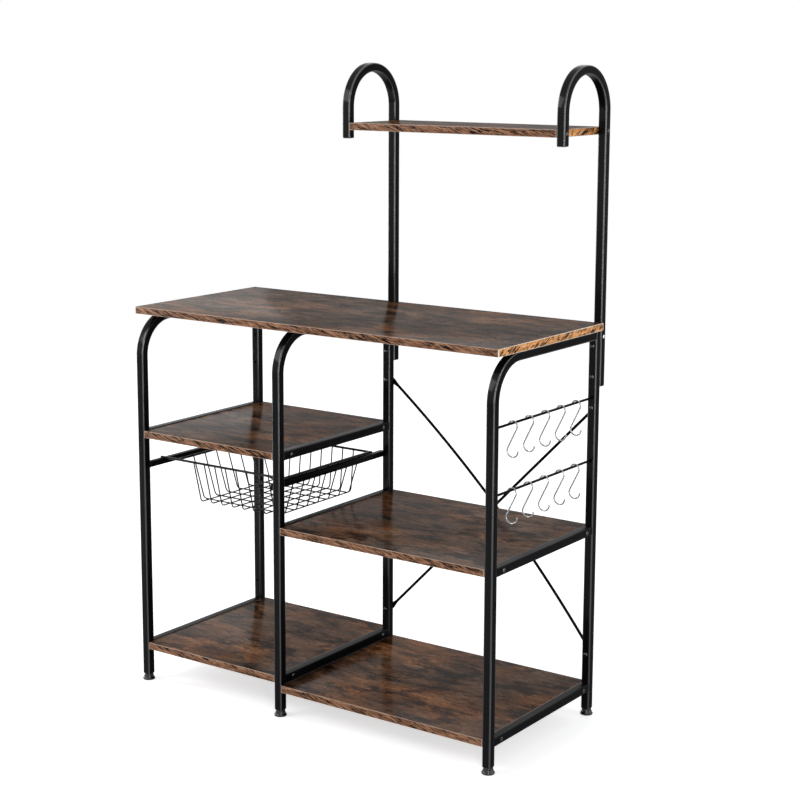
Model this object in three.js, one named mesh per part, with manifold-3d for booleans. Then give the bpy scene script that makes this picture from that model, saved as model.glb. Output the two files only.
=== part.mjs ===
// Bakers rack: three steel tube frames, laminated boards, a hutch shelf, a pull-out wire basket and S-hooks.
// Millimetres. X runs to the right, Y to the back and Z up; the origin is on the floor, under the middle of the
// bounding box.
import * as THREE from "three";
import { mergeVertices } from "three/addons/utils/BufferGeometryUtils.js";
import Module from "manifold-3d";

const wasm = await Module();
wasm.setup();

// Overall sizes
const rackHeight = 1320;
const worktopWidth = 900;
const worktopTop = 815;
const worktopOverhang = 5; // beyond the outer frames, at each end
const worktopSetBack = 5; // its front edge lies behind the front legs' front faces
const frameDepth = 394; // outside the front and rear legs
const boardThickness = 15;
const touchGap = 0.3; // left where pieces that aren't flat against each other meet
const runningGap = 0.4; // between round rods that pass each other

// Tube stock
const tube = 18;
const tubeCorner = 2.5;
const tubeWall = 1.2;
const bendRadius = 80; // of the tubes' centre lines
const halfTube = tube / 2;

// Frames: left, middle and right, with a narrow bay on the left
const narrowBayWidth = 349; // clear width between the left and the middle frame
const leftX = -(worktopWidth / 2 - worktopOverhang - halfTube);
const middleX = leftX + tube + narrowBayWidth;
const rightX = -leftX;
const frameX = { left: leftX, middle: middleX, right: rightX };
const frameFront = -frameDepth / 2;
const frameBack = frameDepth / 2;
const frontLegY = frameFront + halfTube;
const rearLegY = frameBack - halfTube;
const footHeight = 14;
const frameTop = worktopTop - boardThickness;

// Boards, by the height of their top faces
const leftShelfTop = 552;
const rightShelfTop = 400;
const leftBottomTop = 86;
const rightBottomTop = leftBottomTop - tube; // the middle frame carries both rails, one on the other
const railHeightOf = (boardTop) => boardTop - boardThickness / 2;

// Hutch: two posts behind the rear legs, bent forward over a shelf
const postY = frameBack + halfTube;
const postBottom = 686;
const hutchDepth = 178; // outside the U of the posts
const hutchFrontY = frameBack + tube - hutchDepth + halfTube;
const hutchRise = 120; // from the hutch shelf's top to the top of the posts
const hutchTail = 30; // from the shelf's top down to the lower end of the U's front tubes
const hutchShelfTop = rackHeight - hutchRise;
const hutchFrontBottom = hutchShelfTop - hutchTail;
const postTopCentre = rackHeight - halfTube;

// Bolts through the rear legs
const boltRadius = 2.5;
const boltHeadRadius = 4.5;
const boltHeadHeight = 3;
const boltEnd = 1; // the bolt's end stands this far past its own grip, inside the nut
const nutRadius = 4.6;
const nutHeight = 4;
const postBoltHeights = [770, 708];
const braceBoltTop = 645;
const braceBoltBottom = 130;

// Cross brace
const braceRadius = 3;
const braceTab = 2.6; // thickness of the flattened ends
const braceTabRadius = 7;
const braceTabLength = 16;
const braceY = frameBack + braceRadius + runningGap;
const braceBow = 19; // how far the rear rod bows at its middle, up and to the right

// Hook rods and S-hooks
const rodRadius = 2.5;
const rodHeights = [665, 537];
const hookWire = 3;
const hookLoopRadius = 9.8; // centre line of the upper loop
const hookBowlRadius = 11.8; // centre line of the lower hook
const hookLoopStop = 0.2; // radians by which the upper tip stops short of the level of its centre
const hookBowlTurn = 0.1; // radians that the lower tip turns in past the level of its centre
const hookBowlDrop = 53.3; // from the rod's centre to the centre of the lower hook
const hookPitch = 59;
const hookCount = 5; // on each rod

// Basket and its runners
const runner = 12;
const runnerTop = 486;
const runnerLength = frameDepth - tube; // welded to the middle of the legs' inner faces
const basketOffset = 21; // the basket's body sits this far right of the bay's middle
const basketX = (leftX + middleX) / 2 + basketOffset;
const rimRadius = 2.5;
const basketWire = 1.4; // radius
const rimHeight = runnerTop + rimRadius + touchGap;
const rimPlay = 4; // between the ends of the front and rear rims and the legs
const rimOverhang = 6.5; // the front and rear rims reach this far past the right side rim
const rimRightEnd = narrowBayWidth / 2 - rimPlay - basketOffset;
const rimLeftEnd = narrowBayWidth / 2 - rimPlay + basketOffset; // they run on to the left runner
const rimHalfWidth = rimRightEnd - rimOverhang; // side rims, the right one over its runner
const basketFromFront = 46; // from the frame's front to the basket's front rim
const basketFromBack = 50;
const rimFrontY = frameFront + basketFromFront;
const rimBackY = frameBack - basketFromBack;
const basketFloor = 398;
const sideTaper = 32; // how far each side wall leans in from the rim to the floor
const floorHalfWidth = rimHalfWidth - sideTaper;
const frontTaper = 26;
const backTaper = 13;
const floorFrontY = rimFrontY + frontTaper;
const floorBackY = rimBackY - backTaper;
const floorCentreY = (floorFrontY + floorBackY) / 2;
const basketCorner = 9; // bend between wall and floor
const weldSink = 0.5; // how deep a welded wire sinks into the one that it is welded to
const lengthwiseCount = 8;
const lengthwiseMargin = 9.5; // from the outer wire to the floor's edge
const lengthwisePitch = (2 * (floorHalfWidth - lengthwiseMargin)) / (lengthwiseCount - 1);
const crosswiseCount = 7;
const crosswiseMargin = 20;
const crosswisePitch = (floorBackY - floorFrontY - 2 * crosswiseMargin) / (crosswiseCount - 1);

// Feet
const footRadius = 13;
const footEdge = 3.5; // height of the disc's rim
const footBevel = 1.2;
const footNeckRadius = 9.8;
const footNeckFrom = 9.5;
const footNeckTo = 11.5;
const footCollarRise = 0.7; // slope under the collar that the leg stands on
const footCollarInset = 0.2;
const footPlugHeight = 12;

// Frame of the whole part: the bounding box is centred on Y between the front feet and the rear nuts
const frontReach = frontLegY - footRadius;
const rearReach = frameBack + tube + nutHeight;
const centreY = (frontReach + rearReach) / 2;

const paint = () => new THREE.MeshStandardMaterial({ color: 0x17181a, roughness: 0.42, metalness: 0.3 });
const board = () => new THREE.MeshStandardMaterial({ color: 0x5d4436, roughness: 0.6, metalness: 0 });
const plastic = () => new THREE.MeshStandardMaterial({ color: 0x101011, roughness: 0.5, metalness: 0 });
const chrome = () => new THREE.MeshStandardMaterial({ color: 0xd8dadd, roughness: 0.12, metalness: 1 });
const zinc = () => new THREE.MeshStandardMaterial({ color: 0xc4c6c8, roughness: 0.3, metalness: 1 });

const rack = new THREE.Group();

function addPart(name, geometry, material, x = 0, y = 0, z = 0) {
  const mesh = new THREE.Mesh(geometry, material);
  mesh.name = name;
  mesh.position.set(x, y - centreY, z);
  rack.add(mesh);
  return mesh;
}

// Solids for joining and cutting
function solid(geometry) {
  const bare = geometry.clone();
  bare.deleteAttribute("normal");
  bare.deleteAttribute("uv");
  const merged = mergeVertices(bare, 1e-3);
  return new wasm.Manifold(
    new wasm.Mesh({
      numProp: 3,
      vertProperties: merged.attributes.position.array,
      triVerts: new Uint32Array(merged.index.array),
    }),
  );
}

function geometryOf(manifold) {
  const mesh = manifold.getMesh();
  const geometry = new THREE.BufferGeometry();
  geometry.setAttribute("position", new THREE.BufferAttribute(new Float32Array(mesh.vertProperties), 3));
  geometry.setIndex(new THREE.BufferAttribute(new Uint32Array(mesh.triVerts), 1));
  geometry.computeVertexNormals();
  return geometry;
}

function joined(geometries) {
  return geometryOf(geometries.map(solid).reduce((sum, next) => sum.add(next)));
}

function cut(geometry, tools) {
  return geometryOf(tools.map(solid).reduce((rest, tool) => rest.subtract(tool), solid(geometry)));
}

// A centre line through its stations, so that the rings of an extruded section fall on them.
class StationLine extends THREE.Curve {
  constructor(points) {
    super();
    this.points = points;
  }
  getPointAt(u) {
    return this.points[Math.round(u * (this.points.length - 1))].clone();
  }
  getTangentAt(u) {
    const last = this.points.length - 1;
    const i = Math.round(u * last);
    const before = this.points[Math.max(i - 1, 0)];
    const after = this.points[Math.min(i + 1, last)];
    const inward = this.points[i].clone().sub(before).normalize();
    const outward = after.clone().sub(this.points[i]).normalize();
    return inward.add(outward).normalize();
  }
}

// Points of an arc in the plane of the unit vectors a and b, without its first point.
function arcPoints(centre, a, b, radius, fromAngle, toAngle, steps) {
  return Array.from({ length: steps }, (_, i) => {
    const angle = fromAngle + ((toAngle - fromAngle) * (i + 1)) / steps;
    return centre
      .clone()
      .addScaledVector(a, radius * Math.cos(angle))
      .addScaledVector(b, radius * Math.sin(angle));
  });
}

const alongX = new THREE.Vector3(1, 0, 0);
const alongY = new THREE.Vector3(0, 1, 0);
const alongZ = new THREE.Vector3(0, 0, 1);
const quarter = Math.PI / 2;

function swept(shape, points, curveSegments = 1) {
  return new THREE.ExtrudeGeometry(shape, {
    steps: points.length - 1,
    curveSegments,
    extrudePath: new StationLine(points),
  });
}

function wireShape(radius, sides) {
  return new THREE.Shape(
    Array.from({ length: sides }, (_, i) => {
      const angle = (2 * Math.PI * i) / sides;
      return new THREE.Vector2(radius * Math.cos(angle), radius * Math.sin(angle));
    }),
  );
}

// Square tube with rounded outer corners, open at both ends.
function tubeShape() {
  const half = halfTube;
  const r = tubeCorner;
  const shape = new THREE.Shape();
  shape.moveTo(half, r - half);
  shape.absarc(half - r, half - r, r, 0, quarter);
  shape.absarc(r - half, half - r, r, quarter, 2 * quarter);
  shape.absarc(r - half, r - half, r, 2 * quarter, 3 * quarter);
  shape.absarc(half - r, r - half, r, 3 * quarter, 4 * quarter);
  const inner = half - tubeWall;
  const chamfer = tubeCorner - tubeWall;
  const bore = new THREE.Path();
  bore.moveTo(inner, chamfer - inner);
  bore.lineTo(inner, inner - chamfer);
  bore.lineTo(inner - chamfer, inner);
  bore.lineTo(chamfer - inner, inner);
  bore.lineTo(-inner, inner - chamfer);
  bore.lineTo(-inner, chamfer - inner);
  bore.lineTo(chamfer - inner, -inner);
  bore.lineTo(inner - chamfer, -inner);
  bore.closePath();
  shape.holes.push(bore);
  return shape;
}

function straightTube(from, to) {
  return swept(tubeShape(), [from, to]);
}

function cylinderBetween(from, to, radius, sides) {
  return swept(wireShape(radius, sides), [from, to]);
}

// Front legs: each runs up from its foot, bends back and becomes the frame's top rail.
const bendSteps = 10;

function frontLegGeometry() {
  const railCentre = frameTop - halfTube;
  const bendCentre = new THREE.Vector3(0, frontLegY + bendRadius, railCentre - bendRadius);
  const points = [
    new THREE.Vector3(0, frontLegY, footHeight),
    new THREE.Vector3(0, frontLegY, bendCentre.z),
    ...arcPoints(bendCentre, alongY, alongZ, bendRadius, 2 * quarter, quarter, bendSteps),
    new THREE.Vector3(0, rearLegY - halfTube, railCentre),
  ];
  return swept(tubeShape(), points);
}

// Rear legs: all three are alike, drilled for the posts and the cross brace.
const boltHeights = [...postBoltHeights, braceBoltTop, braceBoltBottom];

function boltHoles(heights) {
  return heights.map((z) =>
    cylinderBetween(
      new THREE.Vector3(0, -tube, z),
      new THREE.Vector3(0, tube, z),
      boltRadius + touchGap,
      8,
    ),
  );
}

function rearLegGeometry() {
  const leg = straightTube(new THREE.Vector3(0, 0, footHeight), new THREE.Vector3(0, 0, frameTop));
  return cut(leg, boltHoles(boltHeights));
}

for (const [side, x] of Object.entries(frameX)) {
  addPart(`front_leg_${side}`, frontLegGeometry(), paint(), x);
  addPart(`rear_leg_${side}`, rearLegGeometry(), paint(), x, rearLegY);
}

// Shelf rails: short tubes between the front and the rear leg, at the height of the board that they carry.
function shelfRail(name, x, boardTop) {
  const z = railHeightOf(boardTop);
  const rail = straightTube(
    new THREE.Vector3(0, frontLegY + halfTube, 0),
    new THREE.Vector3(0, rearLegY - halfTube, 0),
  );
  addPart(name, rail, paint(), x, 0, z);
}

shelfRail("rail_left_upper", leftX, leftShelfTop);
shelfRail("rail_left_bottom", leftX, leftBottomTop);
shelfRail("rail_middle_upper", middleX, leftShelfTop);
shelfRail("rail_middle_centre", middleX, rightShelfTop);
shelfRail("rail_middle_bottom_upper", middleX, leftBottomTop);
shelfRail("rail_middle_bottom_lower", middleX, rightBottomTop);
shelfRail("rail_right_centre", rightX, rightShelfTop);
shelfRail("rail_right_bottom", rightX, rightBottomTop);

// Boards: laminated chipboard, edge to edge between the frames.
function addBoard(name, fromX, toX, frontY, backY, top) {
  const geometry = new THREE.BoxGeometry(toX - fromX, backY - frontY, boardThickness);
  const x = (fromX + toX) / 2;
  const y = (frontY + backY) / 2;
  addPart(name, geometry, board(), x, y, top - boardThickness / 2);
}

const bayEdge = {
  narrow: [leftX + halfTube, middleX - halfTube],
  wide: [middleX + halfTube, rightX - halfTube],
};
const halfTop = worktopWidth / 2;
addBoard("worktop", -halfTop, halfTop, frameFront + worktopSetBack, frameBack, worktopTop);
addBoard("board_left_upper", ...bayEdge.narrow, frameFront, frameBack, leftShelfTop);
addBoard("board_left_bottom", ...bayEdge.narrow, frameFront, frameBack, leftBottomTop);
addBoard("board_right_centre", ...bayEdge.wide, frameFront, frameBack, rightShelfTop);
addBoard("board_right_bottom", ...bayEdge.wide, frameFront, frameBack, rightBottomTop);
addBoard("hutch_shelf", ...bayEdge.wide, hutchFrontY - halfTube, postY + halfTube, hutchShelfTop);

// Hutch posts: each stands behind a rear leg, bends forward in a U and ends below the shelf.
function postGeometry() {
  const reach = postY - hutchFrontY;
  const rear = new THREE.Vector3(0, 0, postTopCentre - bendRadius);
  const rearCentre = rear.clone().addScaledVector(alongY, -bendRadius);
  const frontCentre = rear.clone().addScaledVector(alongY, bendRadius - reach);
  const points = [
    new THREE.Vector3(0, 0, postBottom),
    rear,
    ...arcPoints(rearCentre, alongY, alongZ, bendRadius, 0, quarter, bendSteps),
    ...(reach > 2 * bendRadius + touchGap ? [frontCentre.clone().addScaledVector(alongZ, bendRadius)] : []),
    ...arcPoints(frontCentre, alongY, alongZ, bendRadius, quarter, 2 * quarter, bendSteps),
    new THREE.Vector3(0, -reach, hutchFrontBottom),
  ];
  return cut(swept(tubeShape(), points), boltHoles(postBoltHeights));
}

for (const side of ["middle", "right"]) {
  addPart(`hutch_post_${side}`, postGeometry(), paint(), frameX[side], postY);
}

// End caps: plastic plugs in the lower ends of the U's front tubes.
const capInset = 0.5; // the cap's flange is this much smaller than the tube, all round
const capHeight = 2;
const plugPlay = 1.3; // between the plug and the tube's bore, all round
const plugHeight = 9; // inside the tube

function endCapGeometry() {
  const flange = tube - 2 * capInset;
  const plug = tube - 2 * (tubeWall + plugPlay);
  const flangeBox = new THREE.BoxGeometry(flange, flange, capHeight);
  const plugBox = new THREE.BoxGeometry(plug, plug, plugHeight + capHeight);
  flangeBox.translate(0, 0, -capHeight / 2);
  plugBox.translate(0, 0, (plugHeight - capHeight) / 2);
  return joined([flangeBox, plugBox]);
}

for (const side of ["middle", "right"]) {
  addPart(`tube_cap_${side}`, endCapGeometry(), plastic(), frameX[side], hutchFrontY, hutchFrontBottom);
}

// Bolts with their nuts: the head bears on the rear leg's front face.
const domeShare = 0.6;
const domeTopShare = 0.85;
const domeEdgeShare = 0.35;

function boltGeometry(grip) {
  const head = [
    [0, -boltHeadHeight],
    [boltHeadRadius * domeShare, -boltHeadHeight * domeTopShare],
    [boltHeadRadius, -boltHeadHeight * domeEdgeShare],
    [boltHeadRadius, 0],
    [boltRadius, 0],
    [boltRadius, grip + boltEnd],
    [0, grip + boltEnd],
  ];
  const bolt = new THREE.LatheGeometry(head.map(([r, h]) => new THREE.Vector2(r, h)), 10);
  const nut = new THREE.CylinderGeometry(nutRadius, nutRadius, nutHeight, 6);
  nut.translate(0, grip + nutHeight / 2, 0);
  return joined([bolt, nut]);
}

const legFace = rearLegY - halfTube;
for (const side of ["middle", "right"]) {
  postBoltHeights.forEach((z, i) => {
    const name = `post_bolt_${side}_${["upper", "lower"][i]}`;
    addPart(name, boltGeometry(2 * tube), paint(), frameX[side], legFace, z);
  });
  for (const [place, z] of [["upper", braceBoltTop], ["lower", braceBoltBottom]]) {
    const name = `brace_bolt_${side}_${place}`;
    addPart(name, boltGeometry(tube + braceTab), paint(), frameX[side], legFace, z);
  }
}

// Cross brace: two rods with flattened, drilled ends, bolted to the rear faces of the middle and right legs.
function braceEnd(boltPoint, towards) {
  const angle = Math.atan2(towards.z - boltPoint.z, towards.x - boltPoint.x);
  const outline = new THREE.Shape();
  outline.absarc(0, 0, braceTabRadius, quarter, 3 * quarter);
  outline.lineTo(braceTabLength, -braceRadius);
  outline.lineTo(braceTabLength, braceRadius);
  const hole = new THREE.Path();
  hole.absarc(0, 0, boltRadius + touchGap, 0, 4 * quarter, true);
  outline.holes.push(hole);
  const tab = new THREE.ExtrudeGeometry(outline, { depth: braceTab, bevelEnabled: false, curveSegments: 4 });
  tab.rotateZ(angle);
  tab.rotateX(quarter);
  tab.translate(boltPoint.x, frameBack + braceTab, boltPoint.z);
  return tab;
}

function braceRod(from, to, bow, depth) {
  const middle = from.clone().add(to).multiplyScalar(0.5);
  const across = new THREE.Vector3(Math.abs(from.z - to.z), 0, Math.abs(to.x - from.x)).normalize();
  const pull = middle.clone().addScaledVector(across, 2 * bow).addScaledVector(alongY, 2 * depth);
  const curve = new THREE.QuadraticBezierCurve3(from, pull, to);
  const length = curve.getLength();
  const trim = (braceTabLength - braceRadius) / length;
  const steps = bow > 0 ? 14 : 1;
  const points = Array.from({ length: steps + 1 }, (_, i) => curve.getPointAt(trim + ((1 - 2 * trim) * i) / steps));
  const rod = swept(wireShape(braceRadius, 10), points);
  return joined([rod, braceEnd(from, points[1]), braceEnd(to, points[steps - 1])]);
}

const braceCorner = (x, z) => new THREE.Vector3(x, braceY, z);
const straightBrace = braceRod(
  braceCorner(rightX, braceBoltTop),
  braceCorner(middleX, braceBoltBottom),
  0,
  0,
);
const bowedBrace = braceRod(
  braceCorner(middleX, braceBoltTop),
  braceCorner(rightX, braceBoltBottom),
  braceBow,
  2 * braceRadius + runningGap,
);
addPart("brace_rod_front", straightBrace, paint());
addPart("brace_rod_rear", bowedBrace, paint());

// Hook rods: round bars across the right frame.
const hookRodEnd = rearLegY - halfTube;
rodHeights.forEach((z, i) => {
  const from = new THREE.Vector3(0, -hookRodEnd, 0);
  const to = new THREE.Vector3(0, hookRodEnd, 0);
  addPart(`hook_rod_${["upper", "lower"][i]}`, cylinderBetween(from, to, rodRadius, 16), paint(), rightX, 0, z);
});

// S-hooks: a small loop over the rod, a slanting shank and a wider bowl, hung with the weight under the rod.
function hookPoints() {
  const loopCentre = new THREE.Vector3(0, 0, rodRadius + touchGap + hookWire / 2 - hookLoopRadius);
  const bowlCentre = new THREE.Vector3(0, 0, -hookBowlDrop);
  const slant = Math.asin((hookLoopRadius + hookBowlRadius) / (loopCentre.z - bowlCentre.z));
  const tipAngle = 2 * quarter - hookLoopStop;
  const bowlEnd = 4 * quarter + hookBowlTurn;
  const loop = arcPoints(loopCentre, alongX, alongZ, hookLoopRadius, tipAngle, -slant, 9);
  const tip = loopCentre
    .clone()
    .addScaledVector(alongX, hookLoopRadius * Math.cos(tipAngle))
    .addScaledVector(alongZ, hookLoopRadius * Math.sin(tipAngle));
  const shankEnd = bowlCentre
    .clone()
    .addScaledVector(alongX, hookBowlRadius * Math.cos(2 * quarter - slant))
    .addScaledVector(alongZ, hookBowlRadius * Math.sin(2 * quarter - slant));
  const bowl = arcPoints(bowlCentre, alongX, alongZ, hookBowlRadius, 2 * quarter - slant, bowlEnd, 9);
  return [tip, ...loop, shankEnd, ...bowl];
}

function hookGeometry() {
  const points = hookPoints();
  const weight = new THREE.Vector3();
  for (let i = 1; i < points.length; i++) {
    const step = points[i].distanceTo(points[i - 1]);
    weight.addScaledVector(points[i].clone().add(points[i - 1]), step / 2);
  }
  const wire = swept(wireShape(hookWire / 2, 6), points);
  wire.rotateY(-Math.atan2(-weight.x, -weight.z));
  return wire;
}

rodHeights.forEach((z, row) => {
  for (let i = 0; i < hookCount; i++) {
    const y = (i - (hookCount - 1) / 2) * hookPitch;
    addPart(`s_hook_${["upper", "lower"][row]}_${i + 1}`, hookGeometry(), chrome(), rightX, y, z);
  }
});

// Basket runners: square bars along the inside of the narrow bay.
function addRunner(name, x) {
  const geometry = new THREE.BoxGeometry(runner, runnerLength, runner);
  addPart(name, geometry, paint(), x, 0, runnerTop - runner / 2);
}
addRunner("basket_runner_left", leftX + halfTube + runner / 2);
addRunner("basket_runner_right", middleX - halfTube - runner / 2);

// Basket: four flat walls of wires under a thick rim, each wire turned in at the bottom, and a floor grid.
const crosswiseFloor = basketFloor + 2 * basketWire - weldSink;
const weldInset = rimRadius + basketWire - weldSink; // wall wires hang on the inside of the rim

function spread(count, pitch, middle) {
  return Array.from({ length: count }, (_, i) => middle + (i - (count - 1) / 2) * pitch);
}

// Wire of a wall in the plane of out and Z, from the rim down to the floor and a little inward.
function wallWire(out, rimOut, floorOut, floorZ) {
  const lean = Math.atan2(rimOut - floorOut, rimHeight - floorZ);
  const turn = quarter - lean;
  const setBack = basketCorner * Math.tan(turn / 2);
  const inner = floorOut - setBack;
  const centre = new THREE.Vector3(0, 0, floorZ + basketCorner).addScaledVector(out, inner);
  const points = [new THREE.Vector3(0, 0, rimHeight).addScaledVector(out, rimOut)];
  const steps = 3;
  for (let i = 0; i <= steps; i++) {
    const angle = -lean - ((quarter - lean) * i) / steps;
    points.push(
      centre
        .clone()
        .addScaledVector(out, basketCorner * Math.cos(angle))
        .addScaledVector(alongZ, basketCorner * Math.sin(angle)),
    );
  }
  return points;
}

function wallComb(out, along, rimOut, floorOut, floorZ, places, rimFrom, rimTo) {
  const rimStart = new THREE.Vector3(0, 0, rimHeight).addScaledVector(out, rimOut).addScaledVector(along, rimFrom);
  const rimStop = rimStart.clone().addScaledVector(along, rimTo - rimFrom);
  const wires = places.map((place) => {
    const line = wallWire(out, rimOut - weldInset, floorOut, floorZ);
    const points = line.map((p) => p.addScaledVector(along, place));
    return swept(wireShape(basketWire, 6), points);
  });
  return joined([cylinderBetween(rimStart, rimStop, rimRadius, 10), ...wires]);
}

const lengthwise = spread(lengthwiseCount, lengthwisePitch, 0);
const crosswise = spread(crosswiseCount, crosswisePitch, floorCentreY);
const inwardX = alongX.clone().negate();
const inwardY = alongY.clone().negate();
const sideRimGap = rimRadius + touchGap;

// How far the wall wires reach in over the floor, from the virtual corner.
function cornerReach(rimOut, floorOut, floorZ) {
  const lean = Math.atan2(rimOut - weldInset - floorOut, rimHeight - floorZ);
  return basketCorner * Math.tan((quarter - lean) / 2);
}

const walls = [
  ["basket_front", inwardY, alongX, -rimFrontY, -floorFrontY, basketFloor, lengthwise, -rimLeftEnd, rimRightEnd],
  ["basket_back", alongY, alongX, rimBackY, floorBackY, basketFloor, lengthwise, -rimLeftEnd, rimRightEnd],
  ["basket_left", inwardX, alongY, rimHalfWidth, floorHalfWidth, crosswiseFloor, crosswise,
    rimFrontY + sideRimGap, rimBackY - sideRimGap],
  ["basket_right", alongX, alongY, rimHalfWidth, floorHalfWidth, crosswiseFloor, crosswise,
    rimFrontY + sideRimGap, rimBackY - sideRimGap],
];
for (const [name, ...sizes] of walls) {
  addPart(name, wallComb(...sizes), paint(), basketX);
}

function floorGrid() {
  const frontEnd = floorFrontY + cornerReach(-rimFrontY, -floorFrontY, basketFloor) + touchGap;
  const backEnd = floorBackY - cornerReach(rimBackY, floorBackY, basketFloor) - touchGap;
  const sideEnd = floorHalfWidth - cornerReach(rimHalfWidth, floorHalfWidth, crosswiseFloor) - touchGap;
  const long = lengthwise.map((x) =>
    cylinderBetween(
      new THREE.Vector3(x, frontEnd, basketFloor),
      new THREE.Vector3(x, backEnd, basketFloor),
      basketWire,
      6,
    ),
  );
  const short = crosswise.map((y) =>
    cylinderBetween(
      new THREE.Vector3(-sideEnd, y, crosswiseFloor),
      new THREE.Vector3(sideEnd, y, crosswiseFloor),
      basketWire,
      6,
    ),
  );
  return joined([...long, ...short]);
}
addPart("basket_floor", floorGrid(), paint(), basketX);

// Feet: a flared disc, a neck and a plug that stands in the leg's bore.
function footGeometry() {
  const collar = halfTube - footCollarInset;
  const plug = halfTube - tubeWall - touchGap;
  const profile = [
    [0, 0],
    [footRadius - footBevel, 0],
    [footRadius, footBevel],
    [footRadius, footEdge],
    [footNeckRadius, footNeckFrom],
    [footNeckRadius, footNeckTo],
    [collar, footNeckTo + footCollarRise],
    [collar, footHeight],
    [plug, footHeight],
    [plug, footHeight + footPlugHeight],
    [0, footHeight + footPlugHeight],
  ];
  const foot = new THREE.LatheGeometry(profile.map(([r, h]) => new THREE.Vector2(r, h)), 18);
  foot.rotateX(quarter);
  return foot;
}

for (const [side, x] of Object.entries(frameX)) {
  addPart(`foot_front_${side}`, footGeometry(), plastic(), x, frontLegY);
  addPart(`foot_rear_${side}`, footGeometry(), plastic(), x, rearLegY);
}

// Lock screw: a bright zinc screw in the outer side of the right post, under the worktop.
const lockScrewRadius = 3.8;
const lockScrewHead = 2.4;
const lockScrewDrop = 14; // below the underside of the worktop

function lockScrewGeometry() {
  const head = [
    [0, -lockScrewHead],
    [lockScrewRadius * domeShare, -lockScrewHead * domeTopShare],
    [lockScrewRadius, -lockScrewHead * domeEdgeShare],
    [lockScrewRadius, 0],
    [0, 0],
  ];
  const screw = new THREE.LatheGeometry(head.map(([r, h]) => new THREE.Vector2(r, h)), 12);
  screw.rotateZ(quarter);
  return screw;
}
addPart("lock_screw", lockScrewGeometry(), zinc(), rightX + halfTube, postY, frameTop - lockScrewDrop);

export default rack;
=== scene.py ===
import math

import bmesh
import bpy
from mathutils import Matrix, Vector


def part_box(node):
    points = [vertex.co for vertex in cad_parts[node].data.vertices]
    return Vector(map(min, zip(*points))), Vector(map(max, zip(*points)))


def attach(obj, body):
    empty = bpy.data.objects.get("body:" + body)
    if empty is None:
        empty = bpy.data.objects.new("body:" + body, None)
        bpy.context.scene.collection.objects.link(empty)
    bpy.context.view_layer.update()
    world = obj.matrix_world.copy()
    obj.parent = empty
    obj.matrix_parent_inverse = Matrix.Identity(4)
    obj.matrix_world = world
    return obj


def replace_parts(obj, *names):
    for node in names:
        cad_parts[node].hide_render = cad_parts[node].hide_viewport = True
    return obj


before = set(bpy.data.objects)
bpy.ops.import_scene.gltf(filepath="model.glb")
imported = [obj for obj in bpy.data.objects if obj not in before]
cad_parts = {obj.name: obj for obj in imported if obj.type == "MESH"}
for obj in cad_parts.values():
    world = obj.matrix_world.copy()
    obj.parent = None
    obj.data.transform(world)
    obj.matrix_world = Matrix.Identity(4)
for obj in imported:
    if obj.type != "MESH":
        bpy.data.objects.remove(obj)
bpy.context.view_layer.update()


# Camera
# It stands in front of the rack's right side, a little above the worktop, with a long lens, as in the
# photograph.
camera_azimuth = math.radians(35.34)
camera_elevation = math.radians(10.04)
camera_roll = math.radians(0.21)
camera_distance = 3.5706
camera_target = Vector((0.0950, -0.0090, 0.7312))
picture_width = 800
focal_pixels = 1772.7
centre_row = 360

camera_data = bpy.data.cameras.new("camera")
camera_data.sensor_width = 36.0
camera_data.lens = focal_pixels / picture_width * camera_data.sensor_width
camera_data.shift_y = (centre_row - picture_width / 2) / picture_width
camera = bpy.data.objects.new("camera", camera_data)
camera_back = Vector((
    math.sin(camera_azimuth) * math.cos(camera_elevation),
    -math.cos(camera_azimuth) * math.cos(camera_elevation),
    math.sin(camera_elevation),
))
camera.location = camera_target + camera_back * camera_distance
camera.rotation_euler = (
    camera_back.to_track_quat("Z", "Y").to_matrix() @ Matrix.Rotation(camera_roll, 3, "Z")
).to_euler()
bpy.context.scene.collection.objects.link(camera)
bpy.context.scene.camera = camera
bpy.context.scene.view_settings.view_transform = "Standard"


# Floor and light
# A white studio: a wide pale floor, a white room seen by the camera and in polished metal, a large soft lamp
# from the left and in front, a weaker one behind, three upright strips that draw the tubes' edges, and a low
# one at the far left whose sheen lies on the left boards.
rack_middle = (0.0, 0.0, 0.7)
strip_aim = (0.0, 0.0, 0.9)
strip_size = (0.22, 1.9)
white = (1.0, 1.0, 1.0, 1.0)


def studio_light(name, place, aim, size, power):
    lamp_data = bpy.data.lights.new(name, "AREA")
    lamp_data.shape = "RECTANGLE"
    lamp_data.size, lamp_data.size_y = size
    lamp_data.energy = power
    lamp = bpy.data.objects.new(name, lamp_data)
    lamp.location = place
    lamp.rotation_euler = (Vector(aim) - Vector(place)).to_track_quat("-Z", "Y").to_euler()
    bpy.context.scene.collection.objects.link(lamp)


studio_light("key_light", (-1.9, -2.4, 2.5), rack_middle, (1.7, 1.4), 42)
studio_light("back_light", (-1.0, 3.0, 2.6), rack_middle, (2.4, 1.2), 22)
studio_light("right_strip", (1.9, -1.9, 0.9), strip_aim, strip_size, 16)
studio_light("left_strip", (-2.4, -0.7, 0.9), strip_aim, strip_size, 20)
studio_light("far_right_strip", (2.6, 0.6, 0.9), strip_aim, strip_size, 12)
studio_light("window_light", (-3.2, 2.9, 1.35), (-0.3, 0.0, 0.5), (0.9, 1.4), 4.5)


def fed(tree, step, inputs):
    """Sets a node's inputs. Each is a value, the socket of another node that feeds it, or a list of these."""
    for name, value in inputs.items():
        for one in value if isinstance(value, list) else [value]:
            if isinstance(one, bpy.types.NodeSocket):
                tree.links.new(one, step.inputs[name])
            else:
                step.inputs[name].default_value = one
    return step


def placed(tree, kind, inputs=None, **settings):
    """Adds one node to a tree, with its own settings first and its inputs after them."""
    step = tree.nodes.new(kind)
    for name, value in settings.items():
        setattr(step, name, value)
    return fed(tree, step, inputs or {})


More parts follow.
